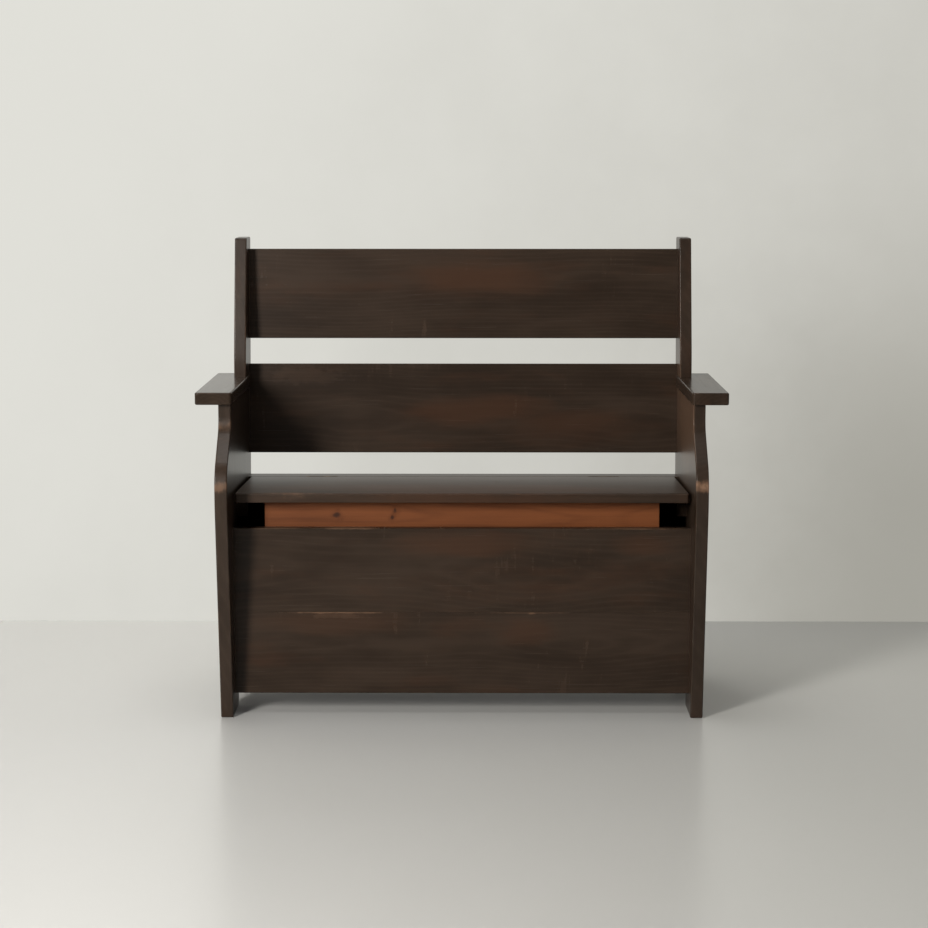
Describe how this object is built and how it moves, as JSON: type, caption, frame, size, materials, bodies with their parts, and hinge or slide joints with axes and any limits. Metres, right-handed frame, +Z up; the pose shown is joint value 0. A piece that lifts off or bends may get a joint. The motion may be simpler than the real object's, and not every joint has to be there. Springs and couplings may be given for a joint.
{
  "type": "deacons bench",
  "caption": "Deacons bench with shaped side panels, flat notched arms, a wide-slatted leaning back and a hinged seat lid over a storage box.",
  "frame": {"origin": "on the floor, below the middle of the bench's bounding box", "axes": "+X to the right as seen from the front, +Y to the rear, +Z up"},
  "size_m": [1.053, 0.51, 0.9413],
  "materials": {
    "stained_pine": "dark espresso stain, satin, worn through at the edges",
    "natural_pine": "reddish unstained pine, oiled",
    "plug_wood": "stained end-grain plug",
    "dowel_wood": "bare beech",
    "hinge_metal": "dark bronze",
    "screw_steel": "zinc plated steel"
  },
  "bodies": {
    "bench": {"left_side_panel": "stained_pine", "right_side_panel": "stained_pine", "left_arm": "stained_pine", "right_arm": "stained_pine", "arm_dowels": "dowel_wood", "upper_back_slat": "stained_pine", "lower_back_slat": "stained_pine", "slat_screws": "screw_steel", "slat_plugs": "plug_wood", "front_upper_board": "stained_pine", "front_lower_board": "stained_pine", "box_back_upper_board": "stained_pine", "box_back_lower_board": "stained_pine", "floor_front_board": "stained_pine", "floor_rear_board": "stained_pine", "left_floor_cleat": "stained_pine", "right_floor_cleat": "stained_pine", "floor_cleat_screws": "screw_steel", "left_seat_cleat": "stained_pine", "right_seat_cleat": "stained_pine", "seat_cleat_screws": "screw_steel", "left_front_corner_cleat": "stained_pine", "right_front_corner_cleat": "stained_pine", "left_rear_corner_cleat": "stained_pine", "right_rear_corner_cleat": "stained_pine", "hinge_rail": "stained_pine", "rail_screws": "screw_steel", "left_hinge_rail_leaf": "hinge_metal", "right_hinge_rail_leaf": "hinge_metal", "left_hinge_pin": "hinge_metal", "right_hinge_pin": "hinge_metal", "rail_leaf_screws": "screw_steel"},
    "seat_lid": {"lid_front_board": "stained_pine", "lid_rear_board": "stained_pine", "lid_front_batten": "natural_pine", "front_batten_dowels": "dowel_wood", "left_cross_batten": "natural_pine", "right_cross_batten": "natural_pine", "cross_batten_screws": "screw_steel", "left_hinge_lid_leaf": "hinge_metal", "right_hinge_lid_leaf": "hinge_metal", "lid_leaf_screws": "screw_steel"}
  },
  "joints": [
    {"name": "lid_hinge", "type": "hinge", "parent": "bench", "child": "seat_lid", "pos_m": [0, 0.14696, 0.43501], "axis": [-1, 0, 0], "range_deg": [0, 96]}
  ]
}
